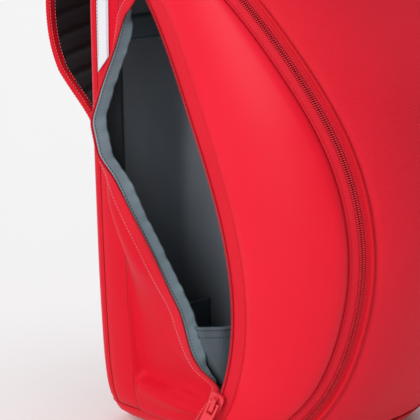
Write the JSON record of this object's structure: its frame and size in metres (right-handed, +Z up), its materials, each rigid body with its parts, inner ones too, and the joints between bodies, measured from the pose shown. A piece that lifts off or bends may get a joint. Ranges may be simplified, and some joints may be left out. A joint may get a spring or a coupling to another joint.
{
  "type": "racket tournament bag",
  "caption": "Padded upright racket bag with a zip-open side door to each racket compartment, an open ball pocket, shoulder straps and a grab handle.",
  "frame": {"origin": "middle of the bag's bounding box, on the surface that its base stands on", "axes": "+X to the bag's right seen from the front, -Y its front, +Y its back with the straps, +Z up"},
  "size_m": [0.34, 0.3738, 0.6245],
  "materials": {
    "red_nylon": "satin woven nylon, red",
    "red_coated": "smooth matt coated fabric, red, padded",
    "red_woven": "fine textured woven polyester, red",
    "red_tape": "woven zipper tape, red",
    "red_coil": "moulded nylon coil teeth, red",
    "red_piping": "folded binding over cord, red",
    "red_metal": "die-cast zinc, enamelled red",
    "white_trim": "smooth white film stripe",
    "grey_lining": "plain woven grey lining",
    "dark_mesh": "quilted black spacer mesh",
    "webbing": "woven red webbing",
    "black_plastic": "moulded acetal, black",
    "board": "stiffener sheet, black",
    "foam": "foam board covered in grey lining"
  },
  "bodies": {
    "shell": {"base_panel": "red_nylon", "top_panel": "red_woven", "back_panel": "red_nylon", "front_panel": "red_woven", "base_board": "board", "centre_divider": "foam", "back_frame_sheet": "board", "left_zipper_coil": "red_coil", "left_zipper_tape": "red_tape", "left_door_piping": "red_piping", "left_back_pad": "dark_mesh", "left_lower_anchor": "webbing", "left_upper_anchor": "webbing", "left_handle_anchor": "webbing", "right_zipper_coil": "red_coil", "right_zipper_tape": "red_tape", "right_door_piping": "red_piping", "right_back_pad": "dark_mesh", "right_lower_anchor": "webbing", "right_upper_anchor": "webbing", "right_handle_anchor": "webbing"},
    "left_door": {"left_door_pillow": "red_coated", "left_door_tape": "red_tape", "left_door_coil": "red_coil", "left_side_band": "red_nylon", "left_stripe": "white_trim", "pocket_tape": "red_tape", "pocket_coil": "red_coil", "pocket_lower_wall": "red_nylon", "pocket_lining": "grey_lining", "ball_can_pouch": "grey_lining"},
    "right_door": {"right_door_pillow": "red_coated", "right_door_tape": "red_tape", "right_door_coil": "red_coil", "right_side_panel": "red_nylon", "right_stripe": "white_trim"},
    "pocket_flap": {"pocket_flap": "red_nylon", "flap_tape": "red_tape", "flap_coil": "red_coil", "flap_hem": "grey_lining"},
    "top_handle": {"handle_webbing": "webbing", "handle_grip": "webbing"},
    "pocket_slider": {"pocket_slider": "red_metal"},
    "pocket_pull": {"pocket_pull": "red_metal"},
    "left_door_slider": {"left_door_slider": "red_metal"},
    "left_door_pull": {"left_door_pull": "red_metal"},
    "right_door_slider": {"right_door_slider": "red_metal"},
    "right_door_pull": {"right_door_pull": "red_metal"},
    "left_strap": {"left_strap_padding": "dark_mesh", "left_strap_binding": "red_piping", "left_ladder_lock": "black_plastic", "left_webbing_tail": "webbing"},
    "left_webbing": {"left_strap_webbing": "webbing"},
    "right_strap": {"right_strap_padding": "dark_mesh", "right_strap_binding": "red_piping", "right_ladder_lock": "black_plastic", "right_webbing_tail": "webbing"},
    "right_webbing": {"right_strap_webbing": "webbing"}
  },
  "joints": [
    {"name": "left_door_hinge", "type": "hinge", "parent": "shell", "child": "left_door", "pos_m": [-0.13066, 0.08133, 0.25], "axis": [0, 0, -1], "range_deg": [0, 60]},
    {"name": "right_door_hinge", "type": "hinge", "parent": "shell", "child": "right_door", "pos_m": [0.16534, 0.08133, 0.25], "axis": [0, 0, 1], "range_deg": [0, 60]},
    {"name": "pocket_flap_hinge", "type": "hinge", "parent": "left_door", "child": "pocket_flap", "pos_m": [-0.13216, 0.04933, 0.25], "axis": [0, 0, -1], "range_deg": [-20, 15]},
    {"name": "pocket_slider_slide", "type": "slide", "parent": "left_door", "child": "pocket_slider", "axis": [-0.0752, -0.4533, 0.8882], "range_m": [-0.01, 0.018]},
    {"name": "pocket_pull_hinge", "type": "hinge", "parent": "pocket_slider", "child": "pocket_pull", "pos_m": [-0.11949, -0.0519, 0.05709], "axis": [-0.2762, 0.8653, 0.4182], "range_deg": [-12, 138]},
    {"name": "left_door_slider_slide", "type": "slide", "parent": "shell", "child": "left_door_slider", "axis": [-0.1876, 0.8241, 0.5345], "range_m": [-0.015, 0.015]},
    {"name": "left_door_pull_hinge", "type": "hinge", "parent": "left_door_slider", "child": "left_door_pull", "pos_m": [-0.13046, -0.0209, 0.4496], "axis": [-0.2622, 0.4824, -0.8358], "range_deg": [0, 150]},
    {"name": "right_door_slider_slide", "type": "slide", "parent": "shell", "child": "right_door_slider", "axis": [0.1876, 0.8241, 0.5345], "range_m": [-0.015, 0.015]},
    {"name": "right_door_pull_hinge", "type": "hinge", "parent": "right_door_slider", "child": "right_door_pull", "pos_m": [0.16514, -0.0209, 0.4496], "axis": [-0.2622, -0.4824, 0.8358], "range_deg": [0, 150]},
    {"name": "left_strap_swing", "type": "hinge", "parent": "shell", "child": "left_strap", "pos_m": [-0.06866, 0.11333, 0.505], "axis": [1, 0, 0], "range_deg": [0, 10]},
    {"name": "left_webbing_swing", "type": "hinge", "parent": "shell", "child": "left_webbing", "pos_m": [-0.06866, 0.11483, 0.052], "axis": [1, 0, 0], "range_deg": [-14, 0]},
    {"name": "right_strap_swing", "type": "hinge", "parent": "shell", "child": "right_strap", "pos_m": [0.10334, 0.11333, 0.505], "axis": [1, 0, 0], "range_deg": [0, 10]},
    {"name": "right_webbing_swing", "type": "hinge", "parent": "shell", "child": "right_webbing", "pos_m": [0.10334, 0.11483, 0.052], "axis": [1, 0, 0], "range_deg": [-14, 0]},
    {"name": "top_handle_hinge", "type": "hinge", "parent": "shell", "child": "top_handle", "pos_m": [0.01734, 0.06133, 0.5835], "axis": [1, 0, 0], "range_deg": [-45, 45], "stiffness_Nm_per_rad": 0.08}
  ],
  "couplings": [
    {"joint": "left_webbing_swing", "follows": "left_strap_swing", "ratio": -1.39},
    {"joint": "right_webbing_swing", "follows": "right_strap_swing", "ratio": -1.39}
  ]
}
